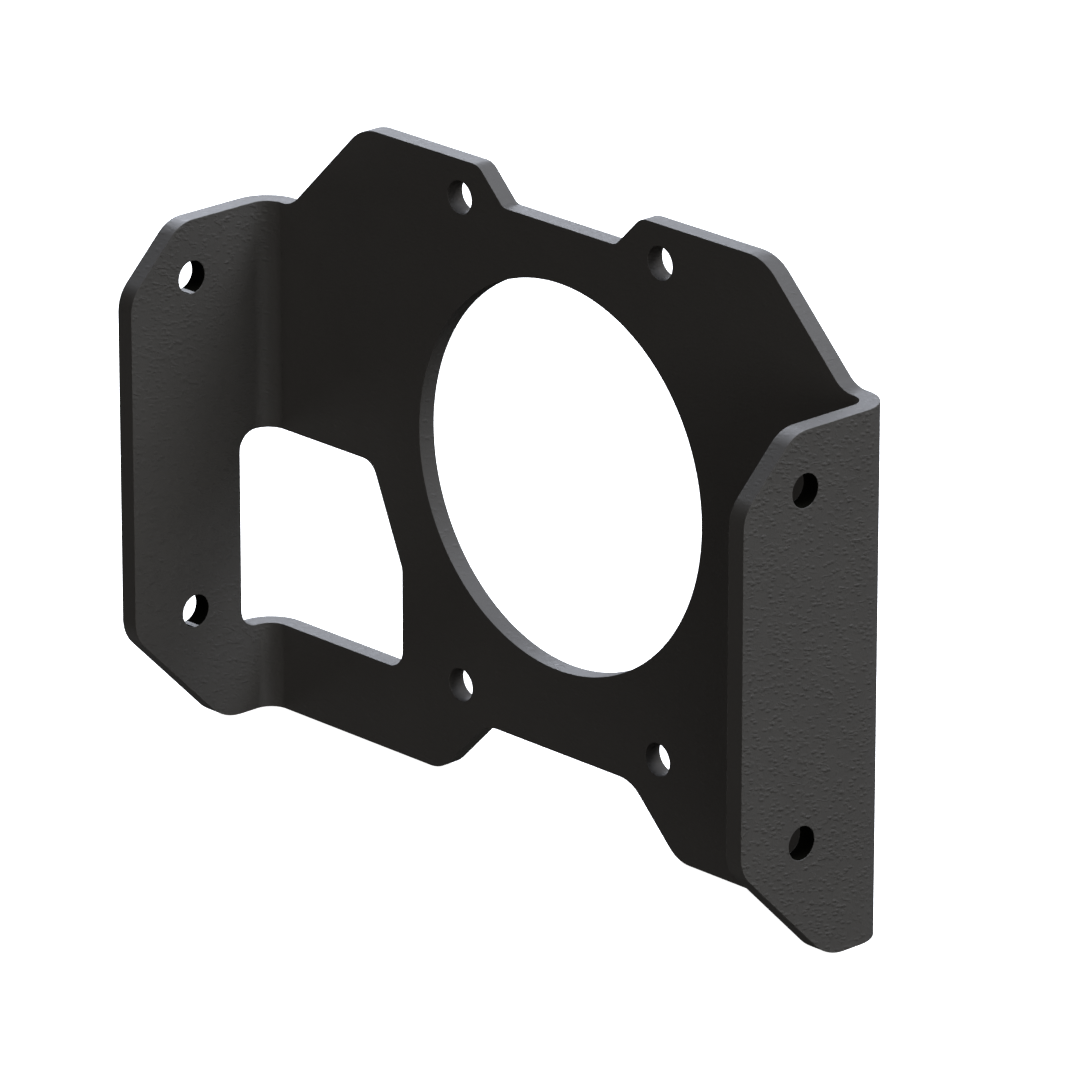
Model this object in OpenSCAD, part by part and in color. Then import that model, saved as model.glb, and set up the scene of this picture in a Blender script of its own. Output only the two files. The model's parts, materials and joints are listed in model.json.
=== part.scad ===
// Wheel base adapter plate: one steel sheet, cut to outline and folded into a shallow channel.
// Millimetres. X runs across the plate, Z runs up, and the flanges stand out towards -Y.
// The origin is the centre of the large bore, on the front face of the web.

/* [Sheet] */
// Thickness of the sheet
sheet_t = 5; // [3:0.5:7]
// Inside radius of the two bends
bend_r = 5; // [3:0.5:9]

/* [Overall size] */
// Width over the outer faces of the two flanges
plate_w = 221.2; // [216:1:260]
// Height of the flange tops above the centre of the bore
flange_top = 46.8; // [45:0.1:60]
// Depth of the bottom edge below the centre of the bore
plate_bottom = 88.2; // [84:0.1:110]
// How far the flanges stand out in front of the web
flange_reach = 45.5; // [42:0.1:70]

/* [Tabs at the top] */
// Height of the tabs above the flange tops
tab_h = 26.6; // [24:0.1:32]
// Width across both tabs at the top, between the corners of their outer slopes
tab_w = 141; // [125:0.1:144]
// Width of the floor of the notch between the tabs
notch_w = 39.4; // [30:0.5:46]
// Depth of the notch between the tabs
notch_h = 8.8; // [6:0.1:11]
// Radius at the outer corners of the tabs
tab_outer_r = 13; // [4:0.5:14]
// Radius at the inner corners of the tabs
tab_inner_r = 5; // [1:0.5:8]
// Radius in the corners of the notch floor
notch_r = 3; // [1:0.5:6]
// Radius where a tab runs into the top of a bend
tab_foot_r = 8; // [2:0.5:12]

/* [Notch at the bottom] */
// Width of the top of the bottom notch
bottom_notch_w = 51.8; // [44:0.5:60]
// Height of the bottom notch
bottom_notch_h = 16.4; // [12:0.1:18]
// Radius in the inner corners of the bottom notch
bottom_notch_r = 10; // [2:0.5:14]
// Radius at the feet of the web beside the bottom notch
web_foot_r = 10; // [2:0.5:14]

/* [Flange corners] */
// Size of the slope at the top front corner of a flange
top_slope = 16.5; // [10:0.1:20]
// Size of the slope at the bottom front corner of a flange
bottom_slope = 29.1; // [20:0.1:32]
// Radius at both ends of the top slope, and at the front end of the bottom slope
flange_corner_r = 10; // [3:0.5:14]
// Radius at the lower end of the bottom slope
flange_toe_r = 14; // [5:0.5:22]

/* [Bore] */
// Diameter of the large bore
bore_d = 100; // [60:1:116]

/* [Bolt holes] */
// Diameter of the four bolt holes in the web
web_hole_d = 8.5; // [4:0.1:11]
// Spacing of the web holes from side to side
web_hole_pitch_x = 70.4; // [66:0.1:90]
// Spacing of the web holes up and down
web_hole_pitch_z = 127.2; // [124:0.1:132]
// Diameter of the two bolt holes in each flange
flange_hole_d = 8.5; // [4:0.1:11]
// Spacing of the two holes in a flange, up and down
flange_hole_pitch = 88.4; // [70:0.1:92]
// Height of the middle of the flange holes below the centre of the bore
flange_hole_drop = 12.4; // [10:0.1:16]
// Distance of the flange holes in front of the web
flange_hole_y = 25.4; // [22:0.1:30]

/* [Window] */
// Distance of the top edge of the window below the centre of the bore
window_drop = 13; // [8:0.1:20]
// Height of the window
window_h = 52.5; // [44:0.1:60]
// Distance from the centre of the bore to the upright edge of the window
window_x = 56.6; // [55:0.1:70]
// How far the sloping edge of the window leans away from the bore
window_lean = 10.9; // [6:0.1:16]
// Height of the sloping edge of the window
window_slope_h = 25.7; // [20:0.1:30]
// How far the window reaches forward onto the flange, in front of the web
window_reach = 10.1; // [9:0.1:14]
// Radius in the corners of the window
window_r = 5; // [1:0.5:7]

/* [Hidden] */
$fn = 96;
// Cuts run past the faces that they cut by this much
past = 2;
// Each corner arc stands out past its two edges by this much, so that it crosses them cleanly
ease = 0.001;
side_x = plate_w / 2;
tab_top = flange_top + tab_h;
window_top = -window_drop;
window_bottom = window_top - window_h;
cut_front = -flange_reach - past;
cut_back = sheet_t + past;

function unit(v) = v / norm(v);
function mirrored(points) = [for (i = [len(points) - 1:-1:0]) [-points[i].x, points[i].y, points[i].z]];
function flat(point) = [point.x, point.y];

// What lies between a corner and the arc of radius r that rounds it. The corner is b, between a
// and c. The piece runs on past both edges, so that it cuts them cleanly.
module corner_piece(a, b, c, r) {
    to_a = unit(a - b);
    to_c = unit(c - b);
    half_angle = acos(to_a * to_c) / 2;
    tangent = r / tan(half_angle);
    centre = b + unit(to_a + to_c) * r / sin(half_angle);
    grow = 1 + past / r;
    translate(centre)
        difference() {
            polygon(grow * [
                [0, 0],
                b + to_a * tangent - centre,
                b - centre,
                b + to_c * tangent - centre
            ]);
            circle(r + ease);
        }
}

// An outline with rounded corners. Each point is [x, y, radius], where 0 leaves a sharp corner.
module rounded(points) {
    count = len(points);
    difference() {
        polygon([for (point = points) flat(point)]);
        for (i = [0:count - 1])
            if (points[i].z > 0)
                corner_piece(
                    flat(points[(i + count - 1) % count]),
                    flat(points[i]),
                    flat(points[(i + 1) % count]),
                    points[i].z
                );
    }
}

// Turns a drawing of the front view, X across and Z up, into a solid from y0 back to y1
module through_y(y0 = cut_front, y1 = cut_back)
    translate([0, y1, 0])
        rotate([90, 0, 0])
            linear_extrude(y1 - y0)
                children();

// Turns a drawing of the side view, Y across and Z up, into a solid from x0 to x1
module through_x(x0 = -side_x - past, x1 = side_x + past)
    translate([x0, 0, 0])
        rotate([90, 0, 90])
            linear_extrude(x1 - x0)
                children();

module both_sides() {
    children();
    mirror([1, 0, 0])
        children();
}

// The folded sheet before its outline is cut: a web with a flange at each side
module channel() {
    bend_out_r = bend_r + sheet_t;
    inside_x = side_x - sheet_t;
    outside = [[side_x, -flange_reach, 0], [side_x, sheet_t, bend_out_r]];
    inside = [[inside_x, -flange_reach - past, 0], [inside_x, 0, bend_r]];
    translate([0, 0, -plate_bottom])
        linear_extrude(tab_top + plate_bottom)
            difference() {
                rounded(concat(outside, mirrored(outside)));
                rounded(concat(inside, mirrored(inside)));
            }
}

// Takes away what lies beside the right tab, down to the top of the flange, and rounds the tab
module tab_cuts() {
    corner = [tab_w / 2, tab_top];
    foot = [tab_w / 2 + tab_h, flange_top];
    notch_corner = [notch_w / 2 + notch_h, tab_top];
    notch_floor = [notch_w / 2, tab_top - notch_h];
    out_x = side_x + past;
    through_y()
        rounded([
            [corner.x - past, tab_top + past, 0],
            [foot.x, foot.y, tab_foot_r],
            [out_x, flange_top, 0],
            [out_x, tab_top + past, 0]
        ]);
    through_y()
        corner_piece(foot, corner, notch_corner, tab_outer_r);
    through_y()
        corner_piece(corner, notch_corner, notch_floor, tab_inner_r);
}

// The notch between the tabs
module top_notch() {
    floor_z = tab_top - notch_h;
    right = [[notch_w / 2, floor_z, notch_r], [notch_w / 2 + notch_h + past, tab_top + past, 0]];
    through_y()
        rounded(concat(right, mirrored(right)));
}

// The notch in the bottom edge
module bottom_notch() {
    floor_z = bottom_notch_h - plate_bottom;
    right = [
        [bottom_notch_w / 2 + bottom_notch_h + past, -plate_bottom - past, 0],
        [bottom_notch_w / 2, floor_z, bottom_notch_r]
    ];
    through_y()
        rounded(concat(right, mirrored(right)));
}

// Rounds the right foot of the web, beside the bottom notch
module foot_cut() {
    floor_corner = [bottom_notch_w / 2, bottom_notch_h - plate_bottom];
    foot = [bottom_notch_w / 2 + bottom_notch_h, -plate_bottom];
    through_y()
        corner_piece(floor_corner, foot, [side_x, -plate_bottom], web_foot_r);
}

// Slopes off the front corners of both flanges and rounds the ends of the slopes. The corner is at
// height edge_z, up is 1 at the top and -1 at the bottom, and inner_r rounds the end further back.
module flange_corner(edge_z, slope, up, inner_r) {
    front = -flange_reach;
    low = [front, edge_z - up * slope];
    high = [front + slope, edge_z];
    through_x()
        polygon([low - past * [1, up], high + past * [1, up], [front - past, edge_z + up * past]]);
    through_x()
        corner_piece([front, 0], low, high, flange_corner_r);
    through_x()
        corner_piece(low, high, [0, edge_z], inner_r);
}

// The window through the web, round the left bend and onto the left flange
module window_cut() {
    out_x = -side_x - past;
    front_top = [-window_reach, window_top];
    front_bottom = [-window_reach, window_bottom];
    difference() {
        through_y(-window_reach, cut_back)
            rounded([
                [out_x, window_bottom, 0],
                [-window_x, window_bottom, window_r],
                [-window_x, window_top - window_slope_h, window_r],
                [-window_x - window_lean, window_top, window_r],
                [out_x, window_top, 0]
            ]);
        through_x(out_x - past, -side_x + sheet_t + past)
            corner_piece([0, window_top], front_top, front_bottom, window_r);
        through_x(out_x - past, -side_x + sheet_t + past)
            corner_piece(front_top, front_bottom, [0, window_bottom], window_r);
    }
}

// The large bore and the four bolt holes round it
module web_bores() {
    through_y(-past, cut_back)
        circle(d = bore_d);
    for (x = [-1, 1], z = [-1, 1])
        translate([x * web_hole_pitch_x / 2, 0, z * web_hole_pitch_z / 2])
            through_y(-past, cut_back)
                circle(d = web_hole_d);
}

// The two bolt holes in the right flange
module flange_bores() {
    for (z = [-1, 1])
        translate([0, -flange_hole_y, z * flange_hole_pitch / 2 - flange_hole_drop])
            through_x(side_x - sheet_t - past, side_x + past)
                circle(d = flange_hole_d);
}

module adapter_plate() {
    color([0.13, 0.125, 0.12])
        difference() {
            channel();
            both_sides()
                tab_cuts();
            top_notch();
            bottom_notch();
            both_sides()
                foot_cut();
            flange_corner(flange_top, top_slope, 1, flange_corner_r);
            flange_corner(-plate_bottom, bottom_slope, -1, flange_toe_r);
            web_bores();
            both_sides()
                flange_bores();
            window_cut();
        }
}

adapter_plate();
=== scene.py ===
# The looks of a wheel base adapter plate: one folded steel sheet under a fine-textured black
# powder coat. The sheet is meshed flat, with its rounded edges, and then folded. All sizes are in
# metres.
import json
import math

import bpy
from mathutils import Matrix, Vector
from mathutils.geometry import delaunay_2d_cdt


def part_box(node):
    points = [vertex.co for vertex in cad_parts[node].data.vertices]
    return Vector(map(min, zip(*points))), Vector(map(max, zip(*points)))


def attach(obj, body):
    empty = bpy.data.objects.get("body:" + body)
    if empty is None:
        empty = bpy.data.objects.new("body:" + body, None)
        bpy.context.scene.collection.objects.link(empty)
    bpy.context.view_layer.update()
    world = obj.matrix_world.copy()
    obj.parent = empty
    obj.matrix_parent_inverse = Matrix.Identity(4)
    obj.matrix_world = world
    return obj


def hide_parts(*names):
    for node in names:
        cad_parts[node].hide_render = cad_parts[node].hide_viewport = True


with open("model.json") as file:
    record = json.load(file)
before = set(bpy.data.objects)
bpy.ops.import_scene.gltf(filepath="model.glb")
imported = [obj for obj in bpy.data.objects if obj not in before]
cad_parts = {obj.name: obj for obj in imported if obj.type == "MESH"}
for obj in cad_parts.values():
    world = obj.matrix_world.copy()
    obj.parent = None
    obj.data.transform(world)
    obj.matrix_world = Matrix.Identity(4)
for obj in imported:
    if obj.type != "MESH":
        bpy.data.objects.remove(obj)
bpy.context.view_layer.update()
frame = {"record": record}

MM = 0.001
NODE = "adapter_plate"
BODY = "root"
EDGE = "on_edge"

# Sizes that the frame holds
low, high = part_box(NODE)
side_x = high.x
sheet_t = high.y
front_y = low.y
tab_top = high.z
bottom = low.z
mounts = {mount["name"]: mount for mount in frame["record"]["mounts"]}

# The rest of the sheet's sizes, the same as in its construction
bend_r = 5 * MM
flange_top = 46.8 * MM
tab_w = 141 * MM
notch_w = 39.4 * MM
notch_h = 8.8 * MM
tab_outer_r = 13 * MM
tab_inner_r = 5 * MM
notch_r = 3 * MM
tab_foot_r = 8 * MM
bottom_notch_w = 51.8 * MM
bottom_notch_h = 16.4 * MM
bottom_notch_r = 10 * MM
web_foot_r = 10 * MM
top_slope = 16.5 * MM
bottom_slope = 29.1 * MM
flange_corner_r = 10 * MM
flange_toe_r = 14 * MM
window_top = -13 * MM
window_bottom = -65.5 * MM
window_x = 56.6 * MM
window_lean = 10.9 * MM
window_slope_h = 25.7 * MM
window_reach = 10.1 * MM
window_r = 5 * MM

# How finely the sheet is meshed
edge_r = 0.12 * MM
edge_steps = 3
fold_steps = 16
arc_error = 0.008 * MM
side_step = 5 * MM
grid_step = 6 * MM
shortest_side = 0.01 * MM
merge_distance = shortest_side / 10

# The sheet's materials. Each has its name, its darkest and its lightest colour and its specular
# level, and the three numbers say which is which. The coat is the sheet's own colour. The two
# hole-wall materials are the coat with painted shade: darker and less glossy on the web's bolt
# holes, and nearly black with no gloss on the flange holes.
sheet_materials = [
    ("black_powder_coat", (0.043, 0.041, 0.0385), (0.051, 0.049, 0.0455), 0.25),
    # Painted shade: the web bolt holes' walls, the coat made darker and less glossy
    ("web_hole_wall_painted_shade", (0.036, 0.033, 0.0295), (0.042, 0.039, 0.0355), 0.08),
    # Painted shade: the flange holes' walls, nearly black and without gloss
    ("flange_hole_wall_painted_shade", (0.002, 0.002, 0.0015), (0.004, 0.004, 0.003), 0),
]
COAT = 0
WEB_WALL_PAINTED_SHADE = 1
FLANGE_WALL_PAINTED_SHADE = 2

# How far upwards a wall faces at the foot of a hole, where it catches the light and keeps the coat
# instead of the painted shade
lit_foot = 0.98

# The flat sheet. s runs across it: it is X on the web, and goes on round the bends onto the
# flanges.
fold_start = side_x - sheet_t - bend_r
fold_length = (bend_r + sheet_t / 2) * math.pi / 2
fold_offsets = [fold_start + fold_length * i / fold_steps for i in range(fold_steps + 1)]
fold_lines = [-s for s in fold_offsets] + fold_offsets


def flange_s(y):
    """Where on the flat sheet a place on the right flange is, from its Y."""
    return fold_start + fold_length - bend_r - y


def fold(s, depth, z):
    """A point of the flat sheet once it is folded, with the directions of s and of the depth
    there. The depth is 0 on the front face and sheet_t on the back."""
    side = math.copysign(1, s)
    past_start = max(abs(s) - fold_start, 0)
    past_end = max(past_start - fold_length, 0)
    angle = min(past_start / fold_length, 1) * math.pi / 2
    x = min(abs(s), fold_start) + (bend_r + depth) * math.sin(angle)
    y = (bend_r + depth) * math.cos(angle) - bend_r - past_end
    across = Vector((math.cos(angle), -side * math.sin(angle), 0))
    deep = Vector((side * math.sin(angle), math.cos(angle), 0))
    return Vector((side * x, y, z)), across, deep


def arc(centre, start, turn, side):
    """Points round a centre from a starting spoke, each with its normal. The normal points away
    from the centre if side is 1, and towards it if side is -1."""
    step = 2 * math.acos(1 - arc_error / start.length)
    count = max(2, math.ceil(abs(turn) / step))
    points = []
    for i in range(count + 1):
        spoke = Matrix.Rotation(turn * i / count, 2) @ start
        points.append((centre + spoke, spoke.normalized() * side))
    return points


def corner_arc(before, corner, after, radius):
    """The arc that rounds a corner of an outline with the material on its left."""
    to_before = (before - corner).normalized()
    to_after = (after - corner).normalized()
    half_angle = to_before.angle(to_after) / 2
    centre = corner + (to_before + to_after).normalized() * radius / math.sin(half_angle)
    start = corner + to_before * radius / math.tan(half_angle) - centre
    side = math.copysign(1, to_after.x * to_before.y - to_after.y * to_before.x)
    return arc(centre, start, side * (math.pi - 2 * half_angle), side)


def rounded_loop(corners):
    """A closed outline from its corners (s, z, radius), with the material on its left."""
    flat = [Vector((s, z)) for s, z, _ in corners]
    points = []
    for i, (_, _, radius) in enumerate(corners):
        points += corner_arc(flat[i - 1], flat[i], flat[(i + 1) % len(flat)], radius)
    return divided(points)


def hole_loop(s, z, radius):
    """A round hole, taken clockwise, so that the material is on its left."""
    return arc(Vector((s, z)), Vector((radius, 0)), -2 * math.pi, -1)[:-1]


def divided(points):
    """Adds points to the long sides of an outline, and one wherever a side crosses a fold line."""
    done = []
    for i, (point, normal) in enumerate(points):
        done.append((point, normal))
        side = points[(i + 1) % len(points)][0] - point
        if side.length < side_step:
            continue
        count = math.ceil(side.length / side_step)
        stops = [j * side.length / count for j in range(1, count)]
        if abs(side.x) > abs(side.y):
            stops += [(s - point.x) / side.x * side.length for s in fold_lines]
        last = 0
        for stop in sorted(stops):
            if stop > last + shortest_side and stop < side.length - shortest_side:
                done.append((point + side.normalized() * stop, normal))
                last = stop
    return done


def edge_loop():
    """The outer edge of the flat sheet."""
    front_s = flange_s(front_y)
    right = [
        (bottom_notch_w / 2, bottom + bottom_notch_h, bottom_notch_r),
        (bottom_notch_w / 2 + bottom_notch_h, bottom, web_foot_r),
        (flange_s(front_y + bottom_slope), bottom, flange_toe_r),
        (front_s, bottom + bottom_slope, flange_corner_r),
        (front_s, flange_top - top_slope, flange_corner_r),
        (flange_s(front_y + top_slope), flange_top, flange_corner_r),
        (tab_w / 2 + tab_top - flange_top, flange_top, tab_foot_r),
        (tab_w / 2, tab_top, tab_outer_r),
        (notch_w / 2 + notch_h, tab_top, tab_inner_r),
        (notch_w / 2, tab_top - notch_h, notch_r),
    ]
    return rounded_loop(right + [(-s, z, radius) for s, z, radius in reversed(right)])


def window_loop():
    """The window, which runs from the web round the left bend and onto the flange."""
    front_s = -flange_s(-window_reach)
    return rounded_loop([
        (front_s, window_bottom, window_r),
        (front_s, window_top, window_r),
        (-window_x - window_lean, window_top, window_r),
        (-window_x, window_top - window_slope_h, window_r),
        (-window_x, window_bottom, window_r),
    ])


def hole_loops():
    """The bore and the bolt holes, where the mounts say that they are. Each comes with the
    material of its wall: the coat in the bore, and painted shade on the walls of the bolt holes."""
    loops = [(hole_loop(0, 0, mounts["main_bore"]["dims"]["r_mm"] * MM), COAT)]
    for name in ("base_bolts", "left_bolts", "right_bolts"):
        sizes = mounts[name]["dims"]
        x, y, z = mounts[name]["pos_m"]
        radius = sizes["hole_r_mm"] * MM
        if x:
            places = [math.copysign(flange_s(y), x)]
            # Painted shade: the flange holes' walls are painted nearly black
            wall = FLANGE_WALL_PAINTED_SHADE
        else:
            places = [side * sizes["spacing_x_mm"] * MM / 2 for side in (-1, 1)]
            # Painted shade: the web bolt holes' walls are painted darker and less glossy
            wall = WEB_WALL_PAINTED_SHADE
        for s in places:
            for up in (-1, 1):
                loops.append((hole_loop(s, z + up * sizes["spacing_y_mm"] * MM / 2, radius), wall))
    return loops


def inside(point, loops):
    """Whether a point of the flat sheet is in the material."""
    crossings = 0
    for loop in loops:
        for i, a in enumerate(loop):
            b = loop[i - 1]
            if (a.y > point.y) != (b.y > point.y):
                crossings += point.x < b.x + (a.x - b.x) * (point.y - b.y) / (a.y - b.y)
    return crossings % 2 == 1


def grid_points():
    """Points spread over the flat sheet and along its fold lines, which give its triangles a
    good shape."""
    rows = math.ceil((tab_top - bottom) / grid_step) + 1
    columns = math.ceil(flange_s(front_y) / grid_step)
    points = []
    for row in range(rows):
        z = bottom + row * grid_step
        spread = [(column + row % 2 / 2) * grid_step for column in range(-columns, columns)]
        flats = [s for s in spread if not fold_start < abs(s) < fold_start + fold_length]
        points += [Vector((s, z)) for s in flats + fold_lines]
    return points


def filled(loops):
    """Triangulates the surface between outlines. Returns its points, its triangles and, for each
    point of the outlines, the number of that point in the result."""
    points = []
    sides = []
    for loop in loops:
        first = len(points)
        points += loop
        sides += [(first + i, first + (i + 1) % len(loop)) for i in range(len(loop))]
    outline_count = len(points)
    for s in fold_lines:
        sides.append((len(points), len(points) + 1))
        points += [Vector((s, bottom - grid_step)), Vector((s, tab_top + grid_step))]
    points += grid_points()
    made, _, faces, sources, _, _ = delaunay_2d_cdt(points, sides, [], 0, merge_distance)
    numbers = {source: i for i, found in enumerate(sources) for source in found}
    kept = []
    for face in faces:
        centre = sum((made[i] for i in face), Vector((0, 0))) / len(face)
        if inside(centre, loops):
            kept.append(face)
    return made, kept, [numbers[i] for i in range(outline_count)]


def edge_section():
    """The sheet's edge from its front face to its back, rounded at both. Each step has its inset,
    its depth and how far its normal points outwards and deeper."""
    angles = [math.pi / 2 * i / edge_steps for i in range(edge_steps + 1)]
    front = [
        (edge_r * (1 - math.sin(a)), edge_r * (1 - math.cos(a)), math.sin(a), -math.cos(a))
        for a in angles
    ]
    back = [(inset, sheet_t - depth, outward, -deeper) for inset, depth, outward, deeper in front]
    return front + back[::-1]


def wall_material(wall, point, outward):
    """The material of a wall below a point of its outline. A flange-hole wall with painted shade
    keeps the coat at the foot of each hole on the left, where the light falls."""
    catches_light = point.x < 0 and outward.y > lit_foot
    return COAT if wall == FLANGE_WALL_PAINTED_SHADE and catches_light else wall


class SheetMesh:
    """Collects the folded sheet's vertices, their exact normals and its faces."""

    def __init__(self):
        self.points = []
        self.normals = []
        self.faces = []
        self.materials = []
        self.on_edge = []

    def add(self, s, depth, z, outward, out_part, deep_part):
        """Adds a vertex and returns its number. Its normal leans outwards in the flat and deeper
        into the sheet."""
        point, across, deep = fold(s, depth, z)
        self.points.append(point)
        self.on_edge.append(float(out_part > 0))
        flat_normal = across * outward.x + Vector((0, 0, outward.y))
        self.normals.append((flat_normal * out_part + deep * deep_part).normalized())
        return len(self.points) - 1

    def add_face(self, numbers, material):
        """Adds a face between vertices."""
        self.faces.append(numbers)
        self.materials.append(material)

    def add_sheet(self, outlines):
        """Adds both faces of the sheet and the edges between them. Each outline comes with the
        material of its wall."""
        inset_loops = [[point - normal * edge_r for point, normal in loop] for loop, _ in outlines]
        flat_points, triangles, numbers = filled(inset_loops)
        used = sorted({i for triangle in triangles for i in triangle})
        ends = []
        for depth, deep_part in ((0, -1), (sheet_t, 1)):
            face = {}
            for i in used:
                place = flat_points[i]
                face[i] = self.add(place.x, depth, place.y, Vector((0, 0)), 0, deep_part)
            ends.append(face)
        front, back = ends
        for triangle in triangles:
            self.add_face([front[i] for i in triangle], COAT)
            self.add_face([back[i] for i in reversed(triangle)], COAT)
        first = 0
        for loop, wall in outlines:
            own = numbers[first:first + len(loop)]
            self.add_edge(loop, wall, [front[i] for i in own], [back[i] for i in own])
            first += len(loop)

    def add_edge(self, loop, wall, front, back):
        """Adds the edge along one outline, between its points on the front face and those on the
        back. Only the flat part of the edge takes the wall's material, which is painted shade in
        the bolt holes."""
        section = edge_section()
        columns = []
        for (point, outward), start, end in zip(loop, front, back):
            column = [start]
            for inset, depth, out_part, deep_part in section[1:-1]:
                place = point - outward * inset
                column.append(self.add(place.x, depth, place.y, outward, out_part, deep_part))
            columns.append(column + [end])
        for i, b in enumerate(columns):
            a = columns[i - 1]
            for j in range(len(section) - 1):
                # The flat part of a bolt hole's wall takes its painted-shade material
                material = wall_material(wall, *loop[i]) if j == edge_steps else COAT
                self.add_face([a[j], a[j + 1], b[j + 1], b[j]], material)

    def made(self, name):
        """The finished mesh, shaded by its exact normals."""
        mesh = bpy.data.meshes.new(name)
        mesh.from_pydata(self.points, [], self.faces)
        mesh.attributes.new(EDGE, "FLOAT", "POINT").data.foreach_set("value", self.on_edge)
        mesh.polygons.foreach_set("material_index", self.materials)
        mesh.shade_smooth()
        mesh.normals_split_custom_set_from_vertices(self.normals)
        return mesh


def linked(tree, kind, links=None, **values):
    """Adds a node. values are its settings or its sockets' own values, and links are what feeds
    its sockets."""
    made = tree.nodes.new(kind)
    for name, value in values.items():
        if hasattr(made, name):
            setattr(made, name, value)
        else:
            made.inputs[name.replace("_", " ")].default_value = value
    for name, source in (links or {}).items():
        tree.links.new(source, made.inputs[name])
    return made


# The coat's texture: small bumps and ridges, longer across than they are high, with a fine grain
# between them. A lean turns them in the side view, web_share is what is left of them on the web,
# and edge_share on the edges of the sheet.
relief_lean = math.radians(14)
relief_stretch = 0.48
relief_height = 0.16 * MM
web_share = 0.25
edge_share = 0.4
bump_scale = 880
bump_foot = 0.5
bump_top = 0.1
ridge_scale = 640
ridge_detail = 2
ridge_distortion = 0.6
ridge_foot = 0.52
ridge_top = 0.75
ridge_share = 0.6
grain_scale = 2600
grain_detail = 1
grain_share = 0.15

# How the colour varies, and how rough the coat is between its bumps and on top of them
cloud_scale = 60
cloud_detail = 3
cloud_roughness = 0.6
foot_roughness = 0.58
top_roughness = 0.5


def maths(tree, operation, *sources):
    """What one operation makes of the outputs of other nodes."""
    return linked(tree, "ShaderNodeMath", dict(enumerate(sources)), operation=operation).outputs[0]


def coat_pattern(tree, place):
    """The height of the coat's bumps, ridges and grain, the same on every face."""
    turned = linked(
        tree,
        "ShaderNodeVectorRotate",
        {"Vector": place},
        rotation_type="X_AXIS",
        Angle=relief_lean,
    )
    stretched = linked(
        tree,
        "ShaderNodeVectorMath",
        {0: turned.outputs[0]},
        operation="MULTIPLY",
    )
    stretched.inputs[1].default_value = (relief_stretch, relief_stretch, 1)
    bumps = linked(
        tree,
        "ShaderNodeTexVoronoi",
        {"Vector": stretched.outputs[0]},
        Scale=bump_scale,
    )
    peaks = linked(
        tree,
        "ShaderNodeMapRange",
        {"Value": bumps.outputs["Distance"]},
        interpolation_type="SMOOTHSTEP",
        From_Min=bump_foot,
        From_Max=bump_top,
    )
    sizes = linked(tree, "ShaderNodeSeparateXYZ", {0: bumps.outputs["Color"]})
    uneven = maths(tree, "MULTIPLY", peaks.outputs["Result"], sizes.outputs["X"])
    ripples = linked(
        tree,
        "ShaderNodeTexNoise",
        {"Vector": stretched.outputs[0]},
        Scale=ridge_scale,
        Detail=ridge_detail,
        Distortion=ridge_distortion,
    )
    ridges = linked(
        tree,
        "ShaderNodeMapRange",
        {"Value": ripples.outputs["Fac"]},
        interpolation_type="SMOOTHSTEP",
        From_Min=ridge_foot,
        From_Max=ridge_top,
        To_Max=ridge_share,
    )
    both = maths(tree, "ADD", uneven, ridges.outputs["Result"])
    grain = linked(
        tree,
        "ShaderNodeTexNoise",
        {"Vector": place},
        Scale=grain_scale,
        Detail=grain_detail,
    )
    height = linked(
        tree,
        "ShaderNodeMath",
        {0: grain.outputs["Fac"], 2: both},
        operation="MULTIPLY_ADD",
    )
    height.inputs[1].default_value = grain_share
    return height.outputs[0]


def coat_relief(tree, coordinates):
    """The height of the coat's texture, which is less on the web and on the sheet's edges."""
    facing = linked(tree, "ShaderNodeSeparateXYZ", {0: coordinates.outputs["Normal"]})
    frontal = maths(tree, "ABSOLUTE", facing.outputs["Y"])
    on_web = linked(tree, "ShaderNodeMapRange", {"Value": frontal}, To_Min=1, To_Max=web_share)
    edge = linked(tree, "ShaderNodeAttribute", attribute_name=EDGE)
    on_edge = linked(
        tree,
        "ShaderNodeMapRange",
        {"Value": edge.outputs["Fac"]},
        To_Min=1,
        To_Max=edge_share,
    )
    share = maths(tree, "MULTIPLY", on_web.outputs["Result"], on_edge.outputs["Result"])
    return maths(tree, "MULTIPLY", coat_pattern(tree, coordinates.outputs["Object"]), share)


def coat_material(name, dark, light, specular):
    """Fine-textured powder coat, between two colours that lie close together."""
    material = bpy.data.materials.new(name)
    material.use_nodes = True
    tree = material.node_tree
    tree.nodes.clear()
    coordinates = linked(tree, "ShaderNodeTexCoord")
    relief = coat_relief(tree, coordinates)
    bump = linked(tree, "ShaderNodeBump", {"Height": relief}, Distance=relief_height)
    cloud = linked(
        tree,
        "ShaderNodeTexNoise",
        {"Vector": coordinates.outputs["Object"]},
        Scale=cloud_scale,
        Detail=cloud_detail,
        Roughness=cloud_roughness,
    )
    colour = linked(tree, "ShaderNodeMix", {"Factor": cloud.outputs["Fac"]}, data_type="RGBA")
    colour.inputs["A"].default_value = (*dark, 1)
    colour.inputs["B"].default_value = (*light, 1)
    rough = linked(
        tree,
        "ShaderNodeMapRange",
        {"Value": relief},
        To_Min=foot_roughness,
        To_Max=top_roughness,
    )
    coat = linked(
        tree,
        "ShaderNodeBsdfPrincipled",
        {
            "Base Color": colour.outputs["Result"],
            "Roughness": rough.outputs["Result"],
            "Normal": bump.outputs["Normal"],
        },
        Specular_IOR_Level=specular,
    )
    linked(tree, "ShaderNodeOutputMaterial", {"Surface": coat.outputs["BSDF"]})
    return material


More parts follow.
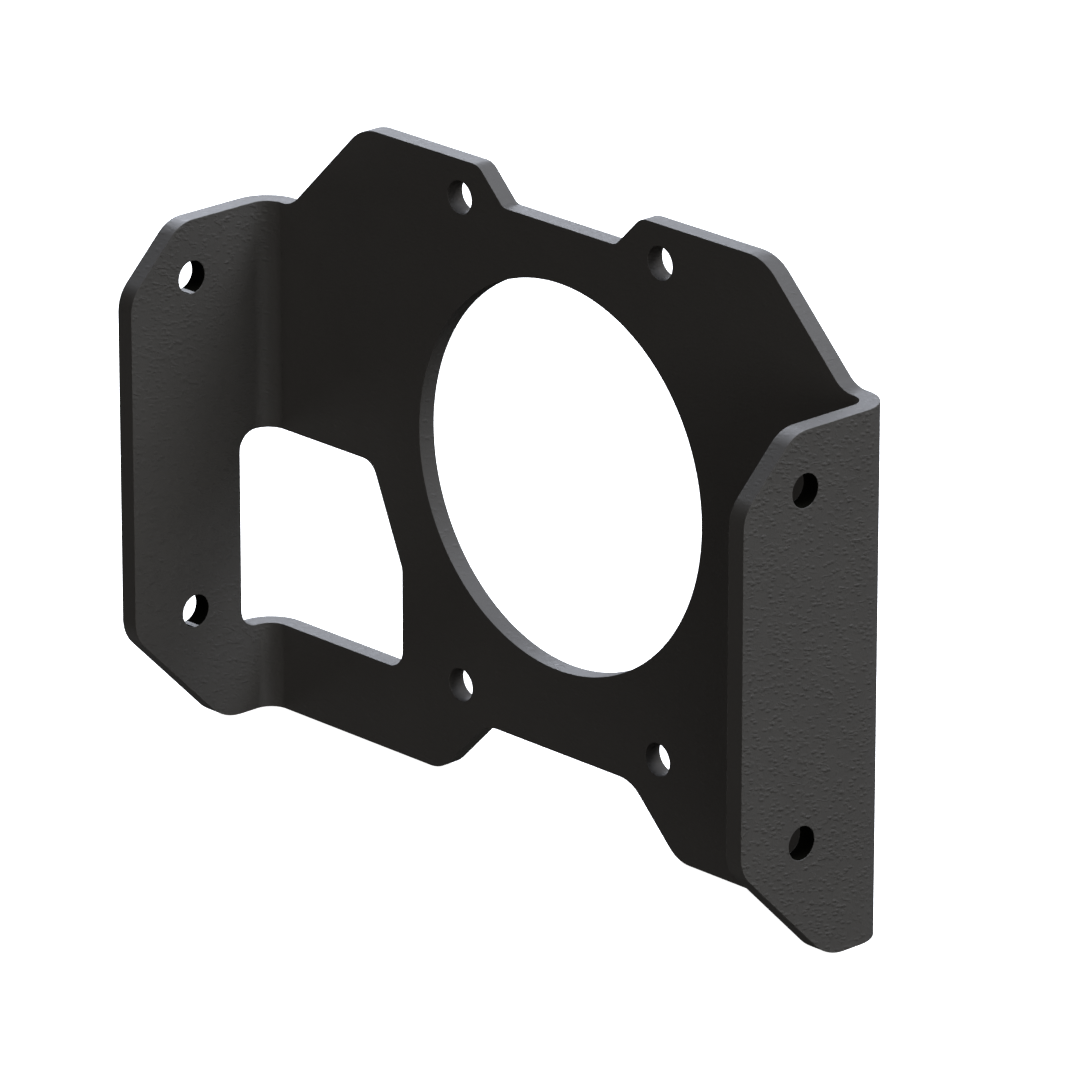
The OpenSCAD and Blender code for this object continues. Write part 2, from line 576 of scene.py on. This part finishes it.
def plate():
    """The plate itself, in place of the plain solid."""
    sheet = SheetMesh()
    sheet.add_sheet([(edge_loop(), COAT), (window_loop(), COAT)] + hole_loops())
    piece = bpy.data.objects.new("plate", sheet.made("plate"))
    bpy.context.scene.collection.objects.link(piece)
    for material in sheet_materials:
        piece.data.materials.append(coat_material(*material))
    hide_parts(NODE)
    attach(piece, BODY)
    return piece


# The camera, fitted to the straight edges and the bore in the photograph
view_azimuth = math.radians(46.689)
view_elevation = math.radians(19.962)
view_roll = math.radians(0.03)
view_aim = Vector((-6.4, -0.06, -17.68)) * MM
view_distance = 2335.9 * MM
lens_mm = 318.1
sensor_mm = 36


def photo_camera():
    """The camera, at the photograph's viewing angle."""
    data = bpy.data.cameras.new("camera")
    data.lens = lens_mm
    data.sensor_width = sensor_mm
    data.clip_start = view_distance / 100
    data.clip_end = view_distance * 10
    camera = bpy.data.objects.new("camera", data)
    bpy.context.scene.collection.objects.link(camera)
    back = Vector((
        math.sin(view_azimuth) * math.cos(view_elevation),
        -math.cos(view_azimuth) * math.cos(view_elevation),
        math.sin(view_elevation),
    ))
    turn = back.to_track_quat("Z", "Y").to_matrix() @ Matrix.Rotation(view_roll, 3, "Z")
    camera.matrix_world = Matrix.Translation(view_aim + back * view_distance) @ turn.to_4x4()
    bpy.context.scene.camera = camera


# The studio. Each soft light has its name, azimuth, elevation, radiance and colour. Azimuth 0 is
# in front of the web, and 90 is to the right. The low lights stand for what a bright floor sends
# back.
neutral = (1, 1, 1)
warm = (1.04, 0.99, 0.95)
cool = (0.95, 1, 1.13)
soft_lights = [
    ("front", 0, 5, 3.4, warm),
    ("front_right", 60, 5, 3.9, neutral),
    ("right", 90, 32, 4.1, neutral),
    ("right_high", 120, 58, 10.2, neutral),
    ("back_right", 150, 32, 4.5, cool),
    ("back_right_high", 150, 58, 16, cool),
    ("back_left", 210, 32, 3.3, cool),
    ("left_back", 240, 32, 20.1, cool),
    ("left", 270, 32, 3.4, cool),
    ("floor_right", 90, -25, 4.7, neutral),
    ("floor_left", 270, -25, 2.1, neutral),
]
light_size = 1.0
light_distance = 2.5
floor_size = 12
floor_light = 1.0
floor_colour = (0.8, 0.8, 0.8, 1)
floor_roughness = 0.9
white = (1, 1, 1, 1)


def floor():
    """A plain white floor under the plate. It lets the low lights through."""
    mesh = bpy.data.meshes.new("floor")
    half = floor_size / 2
    corners = [
        (-half, -half, bottom),
        (half, -half, bottom),
        (half, half, bottom),
        (-half, half, bottom),
    ]
    mesh.from_pydata(corners, [], [(0, 1, 2, 3)])
    piece = bpy.data.objects.new("floor", mesh)
    bpy.context.scene.collection.objects.link(piece)
    material = bpy.data.materials.new("white_floor")
    material.use_nodes = True
    shader = material.node_tree.nodes["Principled BSDF"]
    shader.inputs["Base Color"].default_value = floor_colour
    shader.inputs["Roughness"].default_value = floor_roughness
    shader.inputs["Specular IOR Level"].default_value = 0
    shader.inputs["Emission Color"].default_value = white
    shader.inputs["Emission Strength"].default_value = floor_light
    mesh.materials.append(material)
    piece.visible_glossy = False
    piece.visible_diffuse = False
    piece.visible_shadow = False


def softbox(name, azimuth, elevation, radiance, colour):
    """A square soft light that faces the plate, at an azimuth and an elevation in degrees."""
    data = bpy.data.lights.new(name, "AREA")
    data.shape = "SQUARE"
    data.size = light_size
    data.energy = radiance * math.pi * light_size * light_size
    data.color = colour
    light = bpy.data.objects.new(name, data)
    bpy.context.scene.collection.objects.link(light)
    a = math.radians(azimuth)
    e = math.radians(elevation)
    away = Vector((math.sin(a) * math.cos(e), -math.cos(a) * math.cos(e), math.sin(e)))
    turn = away.to_track_quat("Z", "Y").to_matrix().to_4x4()
    light.matrix_world = Matrix.Translation(away * light_distance) @ turn
    return light


def studio():
    """The soft lights, and no other light in the room."""
    world = bpy.data.worlds.new("room")
    world.use_nodes = True
    world.node_tree.nodes["Background"].inputs["Strength"].default_value = 0
    bpy.context.scene.world = world
    for light in soft_lights:
        softbox(*light)
    bpy.context.scene.view_settings.view_transform = "Standard"


plate()
floor()
photo_camera()
studio()
